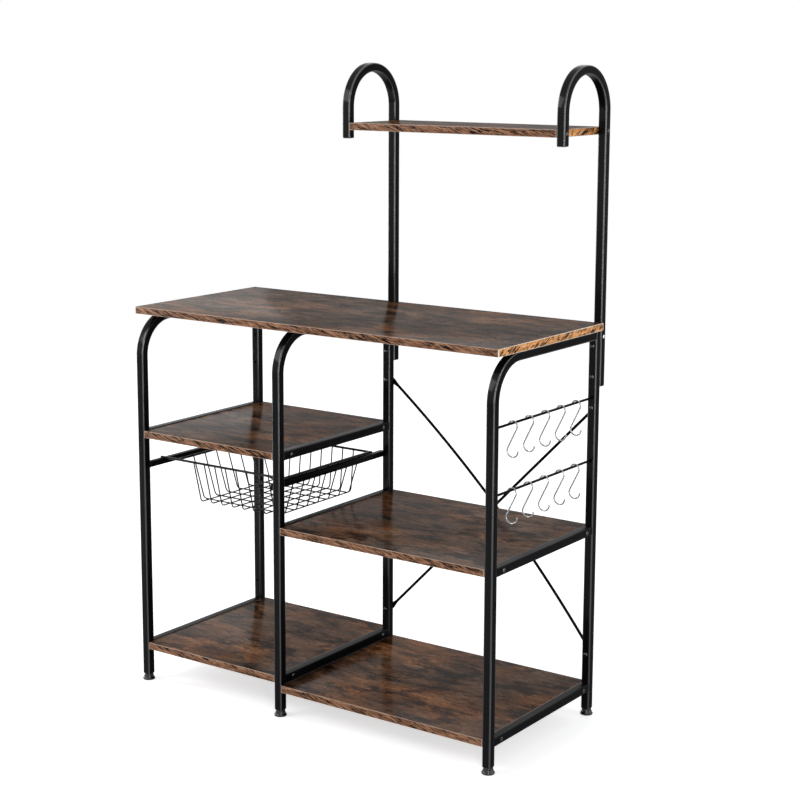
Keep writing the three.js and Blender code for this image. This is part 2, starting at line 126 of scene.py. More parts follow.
def studio_world():
    world = bpy.data.worlds.new("studio")
    world.use_nodes = True
    tree = world.node_tree
    tree.nodes.clear()
    seen = placed(tree, "ShaderNodeBackground", {"Color": white, "Strength": 1.0})
    ambient = placed(tree, "ShaderNodeBackground", {"Color": (0.92, 0.95, 1.0, 1.0), "Strength": 0.42})
    path = placed(tree, "ShaderNodeLightPath").outputs
    either = placed(tree, "ShaderNodeMath", {
        0: path["Is Camera Ray"], 1: path["Is Glossy Ray"]}, operation="MAXIMUM")
    mix = placed(tree, "ShaderNodeMixShader", {
        0: either.outputs[0], 1: ambient.outputs[0], 2: seen.outputs[0]})
    placed(tree, "ShaderNodeOutputWorld", {"Surface": mix.outputs[0]})
    bpy.context.scene.world = world


studio_world()


def studio_floor():
    half = 6.0
    corners = [(-half, -half, 0), (half, -half, 0), (half, half, 0), (-half, half, 0)]
    mesh = bpy.data.meshes.new("floor")
    mesh.from_pydata(corners, [], [(0, 1, 2, 3)])
    floor = bpy.data.objects.new("floor", mesh)
    bpy.context.scene.collection.objects.link(floor)
    paint = bpy.data.materials.new("floor_white")
    paint.use_nodes = True
    tree = paint.node_tree
    surface = fed(tree, tree.nodes["Principled BSDF"], {
        "Base Color": (0.86, 0.86, 0.86, 1.0), "Roughness": 0.9})
    glow = placed(tree, "ShaderNodeEmission", {"Color": white, "Strength": 0.62})
    both = placed(tree, "ShaderNodeAddShader", {0: surface.outputs[0], 1: glow.outputs[0]})
    path = placed(tree, "ShaderNodeLightPath").outputs
    mix = placed(tree, "ShaderNodeMixShader", {
        0: path["Is Camera Ray"], 1: surface.outputs[0], 2: both.outputs[0]})
    fed(tree, tree.nodes["Material Output"], {"Surface": mix.outputs[0]})
    mesh.materials.append(paint)


studio_floor()


# Tube frames
# Three frames of square steel tube, powder coated in black, glossier on the rounded corners. Each front leg
# bends back into the frame's top rail; rear legs, shelf rails and hutch posts are cut from the same stock.
stock_low, stock_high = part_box("rear_leg_left")
tube_side = stock_high.x - stock_low.x
tube_corner = 0.0025
tube_wall = 0.0012
tube_bend = 0.080
corner_steps = 5
bend_steps = 28
hole_sides = 24
weld_distance = 0.00002
squarely = 0.99  # part of its normal along an axis, over which a face looks along that axis
across = Vector((1, 0, 0))
upward = Vector((0, 0, 1))
backward = Vector((0, 1, 0))


def with_sockets(tree, inputs, outputs):
    """Gives a tree its named inputs and outputs, each as (name, kind).

    Returns its input node's sockets, its output node, and the identifiers of its inputs.
    """
    identifiers = [
        tree.interface.new_socket(name=name, in_out="INPUT", socket_type=f"NodeSocket{kind}").identifier
        for name, kind in inputs
    ]
    for name, kind in outputs:
        tree.interface.new_socket(name=name, in_out="OUTPUT", socket_type=f"NodeSocket{kind}")
    return placed(tree, "NodeGroupInput").outputs, placed(tree, "NodeGroupOutput"), identifiers


def surface_grain_group():
    """Fine unevenness of a sprayed or moulded skin: a height, and a mask that drifts over the piece."""
    group = bpy.data.node_groups.new("surface_grain", "ShaderNodeTree")
    given, result, _ = with_sockets(group, [
        ("Grain Scale", "Float"), ("Drift Scale", "Float")], [("Height", "Float"), ("Drift", "Float")])
    place = placed(group, "ShaderNodeTexCoord").outputs["Object"]
    grain = placed(group, "ShaderNodeTexNoise", {
        "Vector": place, "Scale": given["Grain Scale"], "Detail": 3.0})
    drift = placed(group, "ShaderNodeTexNoise", {
        "Vector": place, "Scale": given["Drift Scale"], "Detail": 4.0})
    fed(group, result, {"Height": grain.outputs["Fac"], "Drift": drift.outputs["Fac"]})
    return group


surface_grain = surface_grain_group()


def ramp(tree, value, stops):
    """A colour that goes through these (position, colour) stops as the value grows."""
    colours = placed(tree, "ShaderNodeValToRGB", {"Fac": value})
    elements = colours.color_ramp.elements
    while len(elements) < len(stops):
        elements.new(0.5)
    for element, (position, colour) in zip(elements, stops):
        element.position = position
        element.color = (*colour, 1.0)
    return colours.outputs["Color"]


def ranged(tree, value, low, high, start=0.3, end=0.7):
    """Spreads a value that runs from start to end over the range from low to high."""
    return placed(tree, "ShaderNodeMapRange", {
        "Value": value, "From Min": start, "From Max": end, "To Min": low, "To Max": high}).outputs["Result"]


def skin_material(name, dark, light, rough, grain, drift, bump, shine=0.5, metallic=0.0):
    """A sprayed, plated or moulded skin whose tone and gloss drift a little.

    rough is the range of its roughness; grain and drift are the scales of its relief and of its drift.
    """
    material = bpy.data.materials.new(name)
    material.use_nodes = True
    tree = material.node_tree
    coat = placed(tree, "ShaderNodeAttribute", attribute_name="coat")
    skin = placed(tree, "ShaderNodeGroup", {
        "Grain Scale": grain, "Drift Scale": drift}, node_tree=surface_grain).outputs
    relief = placed(tree, "ShaderNodeBump", {"Strength": bump, "Distance": 0.0002, "Height": skin["Height"]})
    fed(tree, tree.nodes["Principled BSDF"], {
        "Base Color": ramp(tree, skin["Drift"], [(0.35, dark), (0.65, light)]),
        "Metallic": metallic,
        "Roughness": ranged(tree, skin["Drift"], *rough),
        "Normal": relief.outputs["Normal"],
        "Specular IOR Level": shine,
        "Coat Weight": coat.outputs["Fac"],
        "Coat Roughness": 0.12,
        "Coat IOR": 2.3,
    })
    return material


powder_coat = skin_material(
    "powder_coat", dark=(0.0020, 0.0020, 0.0024), light=(0.0042, 0.0042, 0.0050), rough=(0.30, 0.40),
    grain=1500, drift=9, bump=0.15, shine=0.03)

# Weight of the clear gloss on a tube's corners, on its other faces and on its flanks, which face along X
upright_gloss = (0.62, 0.06, 0.0)
rail_gloss = (0.05, 0.0, 0.0)


def tube_tree():
    """Sweeps a hollow square section with rounded corners along a line in a plane square to X."""
    tree = bpy.data.node_groups.new("square_tube", "GeometryNodeTree")
    given, result, inputs = with_sockets(tree, [
        ("Geometry", "Geometry"), ("Side", "Float"), ("Corner", "Float"), ("Wall", "Float"),
        ("Corner Gloss", "Float"), ("Face Gloss", "Float"), ("Flank Gloss", "Float"), ("Steps", "Int"),
        ("Finish", "Material"),
    ], [("Geometry", "Geometry")])

    def computed(operation, first, second):
        return placed(tree, "ShaderNodeMath", {0: first, 1: second}, operation=operation).outputs["Value"]

    def section(side, corner):
        square = placed(tree, "GeometryNodeCurvePrimitiveQuadrilateral", {"Width": side, "Height": side})
        return placed(tree, "GeometryNodeFilletCurve", {
            "Curve": square.outputs["Curve"], "Count": given["Steps"], "Radius": corner,
        }, mode="POLY").outputs["Curve"]

    path = placed(tree, "GeometryNodeMeshToCurve", {"Mesh": given["Geometry"]}).outputs["Curve"]
    outer = section(given["Side"], given["Corner"])
    inner = section(
        computed("SUBTRACT", given["Side"], computed("MULTIPLY", given["Wall"], 2.0)),
        computed("SUBTRACT", given["Corner"], given["Wall"]),
    )
    skins = [
        placed(tree, "GeometryNodeCurveToMesh", {"Curve": path, "Profile Curve": outline}).outputs["Mesh"]
        for outline in (outer, inner)
    ]
    outlines = placed(tree, "GeometryNodeJoinGeometry", {"Geometry": [outer, inner]})
    ring = placed(tree, "GeometryNodeFillCurve", {"Curve": outlines.outputs["Geometry"]}, mode="TRIANGLES")
    ends = placed(tree, "GeometryNodeCurveToPoints", {"Curve": path, "Count": 2}, mode="COUNT").outputs
    rims = placed(tree, "GeometryNodeInstanceOnPoints", {
        "Points": ends["Points"], "Rotation": ends["Rotation"], "Instance": ring.outputs["Mesh"]})
    pieces = placed(tree, "GeometryNodeJoinGeometry", {"Geometry": skins + [rims.outputs["Instances"]]})
    real = placed(tree, "GeometryNodeRealizeInstances", {"Geometry": pieces.outputs["Geometry"]})
    closed = placed(tree, "GeometryNodeMergeByDistance", {
        "Geometry": real.outputs["Geometry"], "Distance": weld_distance})
    normal = placed(tree, "GeometryNodeInputNormal").outputs["Normal"]
    sideways = placed(tree, "ShaderNodeSeparateXYZ", {"Vector": normal}).outputs["X"]
    sideways = computed("ABSOLUTE", sideways, 0.0)
    flank = computed("GREATER_THAN", sideways, squarely)
    face = computed("LESS_THAN", sideways, 0.01)
    corner = computed("SUBTRACT", computed("SUBTRACT", 1.0, flank), face)
    gloss = computed("MULTIPLY", corner, given["Corner Gloss"])
    for share, name in ((face, "Face Gloss"), (flank, "Flank Gloss")):
        gloss = computed("ADD", gloss, computed("MULTIPLY", share, given[name]))
    marked = placed(tree, "GeometryNodeStoreNamedAttribute", {
        "Geometry": closed.outputs["Geometry"], "Name": "coat", "Value": gloss,
    }, data_type="FLOAT", domain="FACE")
    coat = placed(tree, "GeometryNodeSetMaterial", {
        "Geometry": marked.outputs["Geometry"], "Material": given["Finish"]})
    fed(tree, result, {"Geometry": coat.outputs["Geometry"]})
    return tree, inputs[1:]


tube_sweep, tube_inputs = tube_tree()


def plain_mesh(piece):
    """The mesh that a piece's modifiers make of it."""
    return bpy.data.meshes.new_from_object(piece.evaluated_get(bpy.context.evaluated_depsgraph_get()))


def grown(mesh, tree, inputs, values):
    """Runs a tree over a mesh of lines or places and gives the plain mesh that comes of it."""
    carrier = bpy.data.objects.new("carrier", mesh)
    bpy.context.scene.collection.objects.link(carrier)
    step = carrier.modifiers.new("tree", "NODES")
    step.node_group = tree
    for identifier, value in zip(inputs, values):
        step[identifier] = value
    result = plain_mesh(carrier)
    bpy.data.objects.remove(carrier)
    return result


def square_tube(line, gloss=upright_gloss):
    """Tube along a line of points, with the gloss of its corners, its other faces and its flanks."""
    mesh = bpy.data.meshes.new("line")
    mesh.from_pydata(line, [(i, i + 1) for i in range(len(line) - 1)], [])
    solid = grown(
        mesh, tube_sweep, tube_inputs, (tube_side, tube_corner, tube_wall, *gloss, corner_steps, powder_coat))
    work = bmesh.new()
    work.from_mesh(solid)
    bpy.data.meshes.remove(solid)
    return work


def as_piece(name, mesh, body, smooth):
    """Puts a mesh in the scene as a piece on its body, shaded smooth up to this angle in degrees."""
    mesh.name = name
    mesh.shade_smooth()
    mesh.set_sharp_from_angle(angle=math.radians(smooth))
    piece = bpy.data.objects.new(name, mesh)
    bpy.context.scene.collection.objects.link(piece)
    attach(piece, body)
    return piece


def finished(name, work, *materials, body="rack", slot="frame_paint", smooth=40):
    """Turns a bmesh into a piece with true normals, its materials and its body. Its slot is not used."""
    bmesh.ops.recalc_face_normals(work, faces=work.faces)
    mesh = bpy.data.meshes.new(name)
    work.to_mesh(mesh)
    work.free()
    for material in materials:
        mesh.materials.append(material)
    return as_piece(name, mesh, body, smooth)


def arc(centre, radius, from_angle, to_angle):
    """Points of an arc in the YZ plane, angles from +Y towards +Z."""
    angles = [from_angle + (to_angle - from_angle) * i / bend_steps for i in range(bend_steps + 1)]
    return [centre + (backward * math.cos(angle) + upward * math.sin(angle)) * radius for angle in angles]


def cut_away(piece, cutter_work, crosses_itself=False):
    """Takes a cutter's volume out of a finished piece."""
    cutter_mesh = bpy.data.meshes.new("cutter")
    cutter_work.to_mesh(cutter_mesh)
    cutter_work.free()
    cutter = bpy.data.objects.new("cutter", cutter_mesh)
    bpy.context.scene.collection.objects.link(cutter)
    cut = piece.modifiers.new("cut", "BOOLEAN")
    cut.operation = "DIFFERENCE"
    cut.object = cutter
    cut.use_self = crosses_itself
    mesh = plain_mesh(piece)
    mesh.name = piece.name
    piece.modifiers.clear()
    piece.data = mesh
    bpy.data.objects.remove(cutter)


def drilled(piece, centres):
    """Bores a bolt hole along Y through a finished piece at each centre."""
    drill = bmesh.new()
    for centre in centres:
        bmesh.ops.create_cone(
            drill, cap_ends=True, segments=hole_sides, radius1=bolt_hole_radius, radius2=bolt_hole_radius,
            depth=3 * tube_side, matrix=Matrix.Translation(centre) @ Matrix.Rotation(math.pi / 2, 4, "X"),
        )
    cut_away(piece, drill)


frame_sides = ("left", "middle", "right")
bolt_heights = []
for kind in ("post_bolt", "brace_bolt"):
    for level in ("upper", "lower"):
        low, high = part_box(f"{kind}_right_{level}")
        bolt_heights.append((low.z + high.z) / 2)
bolt_hole_radius = 0.0028

for side in frame_sides:
    low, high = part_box(f"front_leg_{side}")
    x = (low.x + high.x) / 2
    leg_y = low.y + tube_side / 2
    rail_z = high.z - tube_side / 2
    bend_centre = Vector((x, leg_y + tube_bend, rail_z - tube_bend))
    line = [Vector((x, leg_y, low.z))] + arc(bend_centre, tube_bend, math.pi, math.pi / 2)
    line += [Vector((x, high.y, rail_z))]
    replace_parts(finished(f"front_leg_tube_{side}", square_tube(line), powder_coat), f"front_leg_{side}")

for side in frame_sides:
    low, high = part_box(f"rear_leg_{side}")
    centre = (low + high) / 2
    tube = square_tube([Vector((centre.x, centre.y, z)) for z in (low.z, high.z)])
    leg = finished(f"rear_leg_tube_{side}", tube, powder_coat)
    drilled(leg, [Vector((centre.x, centre.y, z)) for z in bolt_heights])
    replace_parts(leg, f"rear_leg_{side}")

shelf_rails = [
    "rail_left_upper", "rail_left_bottom", "rail_middle_upper", "rail_middle_centre",
    "rail_middle_bottom_upper", "rail_middle_bottom_lower", "rail_right_centre", "rail_right_bottom",
]
for node in shelf_rails:
    low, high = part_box(node)
    centre = (low + high) / 2
    line = [Vector((centre.x, y, centre.z)) for y in (low.y, high.y)]
    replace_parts(finished(f"{node}_tube", square_tube(line, gloss=rail_gloss), powder_coat), node)

cap_flange = 0.002
for side in ("middle", "right"):
    low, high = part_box(f"hutch_post_{side}")
    x = (low.x + high.x) / 2
    rear_y = high.y - tube_side / 2
    front_y = low.y + tube_side / 2
    bend_z = high.z - tube_side / 2 - tube_bend
    front_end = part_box(f"tube_cap_{side}")[0].z + cap_flange
    line = [Vector((x, rear_y, low.z))]
    line += arc(Vector((x, rear_y - tube_bend, bend_z)), tube_bend, 0, math.pi / 2)
    line += arc(Vector((x, front_y + tube_bend, bend_z)), tube_bend, math.pi / 2, math.pi)[1:]
    line += [Vector((x, front_y, front_end))]
    post = finished(f"hutch_post_tube_{side}", square_tube(line), powder_coat)
    drilled(post, [Vector((x, rear_y, z)) for z in bolt_heights[:2]])
    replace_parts(post, f"hutch_post_{side}")


# Boards
# Chipboard 15 mm thick, faced with a rustic brown wood-print laminate whose grain runs along the rack, and
# edged with a lighter printed band with dark slanting streaks. The arris of the band shows as a pale line.
# The band on the ends and the worktop's end arris are painted brighter, as if a strong lamp fell on them:
# painted light.
def wood_figure_group():
    """Wood figure: noise whose marks have a given size in metres along each axis, after a turn."""
    group = bpy.data.node_groups.new("wood_figure", "ShaderNodeTree")
    given, result, _ = with_sockets(group, [
        ("Mark Size", "Vector"), ("Turn", "Vector"), ("Detail", "Float"), ("Roughness", "Float"),
        ("Distortion", "Float"),
    ], [("Marks", "Float")])
    place = placed(group, "ShaderNodeTexCoord").outputs["Object"]
    spread = placed(group, "ShaderNodeMapping", {
        "Vector": place, "Scale": given["Mark Size"], "Rotation": given["Turn"]}, vector_type="TEXTURE")
    marks = placed(group, "ShaderNodeTexNoise", {
        "Vector": spread.outputs["Vector"], "Scale": 1.0, "Detail": given["Detail"],
        "Roughness": given["Roughness"], "Distortion": given["Distortion"],
    })
    fed(group, result, {"Marks": marks.outputs["Fac"]})
    return group


wood_figure = wood_figure_group()


def figure(tree, size, detail, roughness, distortion=0.0, turn=(0.0, 0.0, 0.0)):
    """The wood figure with its own values; gives its marks."""
    return placed(tree, "ShaderNodeGroup", {
        "Mark Size": size, "Turn": turn, "Detail": detail, "Roughness": roughness, "Distortion": distortion,
    }, node_tree=wood_figure).outputs["Marks"]


def blended(tree, kind, share, first, second):
    """Two colours laid over each other, as MIX or MULTIPLY, by a share of the second."""
    return placed(tree, "ShaderNodeMix", {
        "Factor": share, "A": first, "B": second}, data_type="RGBA", blend_type=kind).outputs["Result"]


def laminate_material():
    """Brown print in layers: body, dark smudges, warm and cool drifts, mottle and fine lines."""
    material = bpy.data.materials.new("rustic_laminate")
    material.use_nodes = True
    tree = material.node_tree
    colour = ramp(tree, figure(tree, (0.15, 0.060, 0.060), detail=8, roughness=0.66, distortion=0.6), [
        (0.36, (0.078, 0.038, 0.020)),
        (0.47, (0.150, 0.078, 0.042)),
        (0.57, (0.222, 0.124, 0.074)),
        (0.68, (0.320, 0.195, 0.126)),
    ])
    smudges = ramp(tree, figure(tree, (0.080, 0.036, 0.036), detail=12, roughness=0.72, distortion=0.3), [
        (0.40, (0.17, 0.15, 0.15)),
        (0.455, (0.42, 0.39, 0.38)),
        (0.505, (1.0, 1.0, 1.0)),
    ])
    warmth = ramp(tree, figure(tree, (0.24, 0.11, 0.11), detail=4, roughness=0.55), [
        (0.42, (0.80, 0.84, 0.92)),
        (0.52, (1.0, 0.96, 0.90)),
        (0.60, (1.30, 1.02, 0.70)),
    ])
    mottle = ramp(tree, figure(tree, (0.010, 0.0032, 0.0032), detail=6, roughness=0.75), [
        (0.40, (0.58, 0.54, 0.51)),
        (0.60, (1.22, 1.20, 1.18)),
    ])
    fine = figure(tree, (0.060, 0.0022, 0.0022), detail=5, roughness=0.6)
    lines = ramp(tree, fine, [(0.40, (0.42, 0.39, 0.37)), (0.56, (1.06, 1.05, 1.04))])
    for layer, share in ((smudges, 1.0), (warmth, 1.0), (mottle, 1.0), (lines, 0.9)):
        colour = blended(tree, "MULTIPLY", share, colour, layer)
    relief = placed(tree, "ShaderNodeBump", {"Strength": 0.14, "Distance": 0.0003, "Height": fine})
    fed(tree, tree.nodes["Principled BSDF"], {
        "Base Color": colour,
        "Roughness": ranged(tree, fine, 0.22, 0.36),
        "Normal": relief.outputs["Normal"],
        "Specular IOR Level": 0.0,
        "Coat Weight": 0.17,
        "Coat IOR": 1.5,
        "Coat Roughness": 0.19,
    })
    return material


def printed_band_group():
    """Printed edge band: long faint grain under slanted dark marks."""
    group = bpy.data.node_groups.new("printed_band", "ShaderNodeTree")
    given, result, _ = with_sockets(group, [
        ("Light", "Color"), ("Middle", "Color"), ("Dark", "Color"), ("Cover", "Float"),
        ("Mark Size", "Vector"), ("Turn", "Vector"),
    ], [("Color", "Color"), ("Grain", "Float")])
    mark_edge = 0.035
    grain = figure(group, (0.05, 0.05, 0.004), detail=5, roughness=0.6, distortion=0.2)
    paler = ranged(group, grain, 0.0, 1.0, start=0.36, end=0.60)
    band = blended(group, "MIX", paler, given["Middle"], given["Light"])
    marks = figure(
        group, given["Mark Size"], detail=5, roughness=0.6, distortion=1.3, turn=given["Turn"])
    beyond = placed(group, "ShaderNodeMath", {0: marks, 1: given["Cover"]}, operation="SUBTRACT")
    bare = ranged(group, beyond.outputs["Value"], 0.0, 1.0, start=-mark_edge, end=mark_edge)
    ink = blended(group, "MIX", bare, given["Dark"], white)
    fed(group, result, {"Color": blended(group, "MULTIPLY", 1.0, band, ink), "Grain": grain})
    return group


printed_band = printed_band_group()


def edging_material(name, light, middle, dark, cover, mark, turn):
    """The printed band in its own colours, with marks of the given cover, size and turn."""
    material = bpy.data.materials.new(name)
    material.use_nodes = True
    tree = material.node_tree
    band = placed(tree, "ShaderNodeGroup", {
        "Light": (*light, 1.0), "Middle": (*middle, 1.0), "Dark": (*dark, 1.0), "Cover": cover,
        "Mark Size": mark, "Turn": turn,
    }, node_tree=printed_band).outputs
    fed(tree, tree.nodes["Principled BSDF"], {
        "Base Color": band["Color"],
        "Roughness": ranged(tree, band["Grain"], 0.38, 0.55),
        "Specular IOR Level": 0.1,
    })
    return material


laminate = laminate_material()
band_slant = math.radians(17)
long_edging = edging_material(
    "edging_long", light=(0.42, 0.215, 0.122), middle=(0.22, 0.102, 0.055), dark=(0.014, 0.007, 0.005),
    cover=0.485, mark=(0.036, 0.036, 0.0027), turn=(0.0, band_slant, 0.0))
# Painted light: the boards' ends take the band's print painted about twice as bright, as if a lamp fell on
# them.
painted_light_end_edging = edging_material(
    "edging_end", light=(0.95, 0.46, 0.18), middle=(0.62, 0.26, 0.08), dark=(0.010, 0.005, 0.003),
    cover=0.47, mark=(0.034, 0.034, 0.0052), turn=(1.6 * band_slant, 0.0, 0.0))
long_arris = skin_material(
    "edging_arris_long", dark=(0.36, 0.23, 0.16), light=(0.56, 0.40, 0.30), rough=(0.4, 0.5),
    grain=900, drift=40, bump=0.05, shine=0.2)
# Painted light: the worktop's end arris is painted near white, far brighter than the long arris, as if lit by
# a lamp.
painted_light_end_arris = skin_material(
    "edging_arris_end", dark=(0.95, 0.72, 0.50), light=(1.0, 0.90, 0.76), rough=(0.4, 0.5),
    grain=900, drift=40, bump=0.05, shine=0.3)
arris_width = 0.0010
corner_width = 0.0018


def block(low, high):
    """A plain block between two corners."""
    work = bmesh.new()
    bmesh.ops.create_cube(work, size=1.0)
    bmesh.ops.scale(work, verts=work.verts, vec=high - low)
    bmesh.ops.translate(work, verts=work.verts, vec=(low + high) / 2)
    return work


def eased(work, edges, width, steps, fullness):
    """Rounds edges off by this width."""
    bmesh.ops.bevel(work, geom=edges, offset=width, segments=steps, profile=fullness, affect="EDGES")


def board(name, low, high, end_line):
    """Board with its edges eased; faces take the laminate, sides the bands and arrises their line."""
    work = block(low, high)

    def edges_of(upright):
        rises = [(edge, abs(edge.verts[0].co.z - edge.verts[1].co.z)) for edge in work.edges]
        return [edge for edge, rise in rises if (rise > arris_width) == upright]

    eased(work, edges_of(True), corner_width, 2, 0.6)
    eased(work, edges_of(False), arris_width, 2, 0.6)
    for face in work.faces:
        normal = face.normal
        if abs(normal.z) > squarely:
            face.material_index = 0
        elif abs(normal.y) > squarely:
            face.material_index = 1
        elif abs(normal.x) > squarely:
            face.material_index = 2
        else:
            face.material_index = 3 if abs(normal.x) < 0.1 else 4
    return finished(
        name, work, laminate, long_edging, painted_light_end_edging, long_arris, end_line, slot="board_laminate", smooth=30)


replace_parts(board("worktop_panel", *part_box("worktop"), painted_light_end_arris), "worktop")
shelves = ("board_left_upper", "board_left_bottom", "board_right_centre", "board_right_bottom", "hutch_shelf")
for node in shelves:
    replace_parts(board(f"{node}_panel", *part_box(node), long_arris), node)


# Feet and tube caps
# Black moulded plastic. Each foot has a plug in the leg's bore, a collar that the leg stands on, a waisted
# neck and a flared pad; the caps close the lower ends of the hutch posts.
moulded_plastic = skin_material(
    "moulded_plastic", dark=(0.005, 0.005, 0.005), light=(0.010, 0.010, 0.010), rough=(0.17, 0.28),
    grain=2200, drift=30, bump=0.25, shine=0.5)
turning_steps = 40
collar_radius = 0.0088
plug_radius = 0.0074
plug_length = 0.0118
plug_ease = 0.0010
cap_corner = 0.8 * tube_corner


def turned(outline, centre, axis=upward):
    """A turned solid: outline is (radius, height) pairs from axis to axis."""
    work = bmesh.new()
    turn = upward.rotation_difference(axis).to_matrix()
    rings = []
    for radius, height in outline:
        angles = [2 * math.pi * i / turning_steps for i in range(turning_steps if radius else 1)]
        rings.append([
            work.verts.new(centre + turn @ Vector((radius * math.cos(a), radius * math.sin(a), height)))
            for a in angles
        ])
    for before, after in zip(rings, rings[1:]):
        for i in range(turning_steps):
            j = (i + 1) % turning_steps
            near = [before[i % len(before)], before[j % len(before)]]
            far = [after[j % len(after)], after[i % len(after)]]
            work.faces.new(list(dict.fromkeys(near + far)))
    return work


def lofted(outlines):
    """A closed solid through a row of outlines that all have the same count of points."""
    work = bmesh.new()
    rings = [[work.verts.new(point) for point in outline] for outline in outlines]
    count = len(rings[0])
    for before, after in zip(rings, rings[1:]):
        for i in range(count):
            j = (i + 1) % count
            work.faces.new((before[i], before[j], after[j], after[i]))
    work.faces.new(rings[0])
    work.faces.new(rings[-1])
    return work


def foot_outline(radius, height):
    """Half outline of a foot whose pad has this radius, with the leg's end at this height."""
    pad = [
        (0, 0), (radius - 0.0016, 0), (radius - 0.0004, 0.0005), (radius, 0.0014), (radius, 0.0030),
        (radius - 0.0008, 0.0040),
    ]
    neck = [(radius - 0.0016, 0.0052), (0.0106, 0.0072), (0.0099, 0.0092), (0.0097, 0.0108), (0.0096, 0.0120)]
    collar = [(0.0092, 0.0126), (collar_radius, 0.0128), (collar_radius, height)]
    plug = [
        (plug_radius, height), (plug_radius, height + plug_length - 0.8 * plug_ease),
        (plug_radius - plug_ease, height + plug_length), (0, height + plug_length),
    ]
    return pad + neck + collar + plug


def rounded_square(half, corner):
    """Points of a square with rounded corners, anticlockwise."""
    points = []
    for turn in range(4):
        start = turn * math.pi / 2
        centre = Matrix.Rotation(start, 2) @ Vector((half - corner, half - corner))
        for i in range(corner_steps + 1):
            angle = start + i / corner_steps * math.pi / 2
            points.append(centre + corner * Vector((math.cos(angle), math.sin(angle))))
    return points


for side in frame_sides:
    for row in ("front", "rear"):
        node = f"foot_{row}_{side}"
        low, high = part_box(node)
        centre = Vector(((low.x + high.x) / 2, (low.y + high.y) / 2, 0))
        leg_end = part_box(f"{row}_leg_{side}")[0].z
        pad_radius = (high.y - low.y) / 2
        foot = turned(foot_outline(pad_radius, leg_end), centre)
        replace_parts(finished(f"{node}_moulding", foot, moulded_plastic, slot="black_plastic"), node)

for side in ("middle", "right"):
    low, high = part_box(f"tube_cap_{side}")
    centre = (low + high) / 2
    half = (high.x - low.x) / 2
    shoulder = low.z + cap_flange
    levels = [
        (half - 0.0010, low.z), (half, low.z + 0.0008), (half, shoulder), (half - 0.0015, shoulder),
        (half - 0.0022, high.z),
    ]
    cap_work = lofted([
        [(centre.x + point.x, centre.y + point.y, z) for point in rounded_square(reach, cap_corner)]
        for reach, z in levels
    ])
    cap = finished(f"tube_cap_{side}_moulding", cap_work, moulded_plastic, slot="black_plastic")
    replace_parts(cap, f"tube_cap_{side}")


# Basket runners
# Square steel bars along the inside of the narrow bay, which carry the basket's rims. They are welded to the
# legs and coated with them.
runner_ease = 0.0008

for side in ("left", "right"):
    node = f"basket_runner_{side}"
    runner_work = block(*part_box(node))
    eased(runner_work, runner_work.edges[:], runner_ease, 3, 0.5)
    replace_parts(finished(f"{node}_bar", runner_work, powder_coat), node)


# Wire work
# Round steel wire, bent and spot welded. One tree sweeps a round section along lines of points, each of which
# holds the wire's radius there, so that cut ends are rounded off and weld beads swell.
wire_end = [(0.0, 0.55), (0.12, 0.78), (0.35, 0.95), (0.7, 1.0)]


def wire_tree():
    """Sweeps a round section of the stored radius along lines."""
    tree = bpy.data.node_groups.new("wire_work", "GeometryNodeTree")
    given, result, inputs = with_sockets(tree, [
        ("Geometry", "Geometry"), ("Sides", "Int"), ("Finish", "Material")], [("Geometry", "Geometry")])
    path = placed(tree, "GeometryNodeMeshToCurve", {"Mesh": given["Geometry"]})
    radius = placed(tree, "GeometryNodeInputNamedAttribute", {"Name": "wire_radius"}, data_type="FLOAT")
    section = placed(tree, "GeometryNodeCurvePrimitiveCircle", {"Resolution": given["Sides"], "Radius": 1.0})
    skin = placed(tree, "GeometryNodeCurveToMesh", {
        "Curve": path.outputs["Curve"], "Profile Curve": section.outputs["Curve"],
        "Scale": radius.outputs["Attribute"], "Fill Caps": True,
    })
    real = placed(tree, "GeometryNodeRealizeInstances", {"Geometry": skin.outputs["Mesh"]})
    coat = placed(tree, "GeometryNodeSetMaterial", {
        "Geometry": real.outputs["Geometry"], "Material": given["Finish"]})
    fed(tree, result, {"Geometry": coat.outputs["Geometry"]})
    return tree, inputs[1:]


wire_sweep, wire_inputs = wire_tree()


def wire_piece(name, lines, material, body="rack", sides=12):
    """A piece of wires. Each line is its points, its radius and, where it has them, its swells.

    The swells give the share of the radius that the wire has at each inner point. wire_end rounds off both
    ends, as distances from the end and radii, both in shares of the wire's radius.
    """
    vertices, edges, radii = [], [], []
    for points, radius, *swells in lines:
        first = (points[1] - points[0]).normalized()
        last = (points[-1] - points[-2]).normalized()
        start = [(points[0] + first * radius * d, radius * r) for d, r in wire_end]
        end = [(points[-1] - last * radius * d, radius * r) for d, r in reversed(wire_end)]
        shares = swells[0] if swells else [1.0] * (len(points) - 2)
        along = start + [(p, radius * share) for p, share in zip(points[1:-1], shares)] + end
        for i, (point, r) in enumerate(along):
            if i:
                edges.append((len(vertices) - 1, len(vertices)))
            vertices.append(point)
            radii.append(r)
    mesh = bpy.data.meshes.new("lines")
    mesh.from_pydata(vertices, edges, [])
    mesh.attributes.new("wire_radius", "FLOAT", "POINT").data.foreach_set("value", radii)
    return as_piece(name, grown(mesh, wire_sweep, wire_inputs, (sides, material)), body, smooth=60)


# Weld beads
# Fillet welds under the coating: short rippled beads along the upper and lower edges of the rails' ends, and
# a ring round each end of the hook rods. The runners are welded below only, clear of the basket's rims.
bead_radius = 0.0013
bead_step = 0.0011
bead_ripple = 0.16
bead_turns = {"swell": 2.4, "wander": 1.7, "next bead": 0.7}
bead_wander = 0.15 * bead_radius
bead_margin = 0.0022
ring_inset = 0.0008
ring_radius = 0.8 * bead_radius
ring_points = 19


def ripple(count, shift=0.0):
    """Shares of the bead's radius, as its puddles swell."""
    return [1.0 + bead_ripple * math.sin(bead_turns["swell"] * i + shift) for i in range(1, count)]


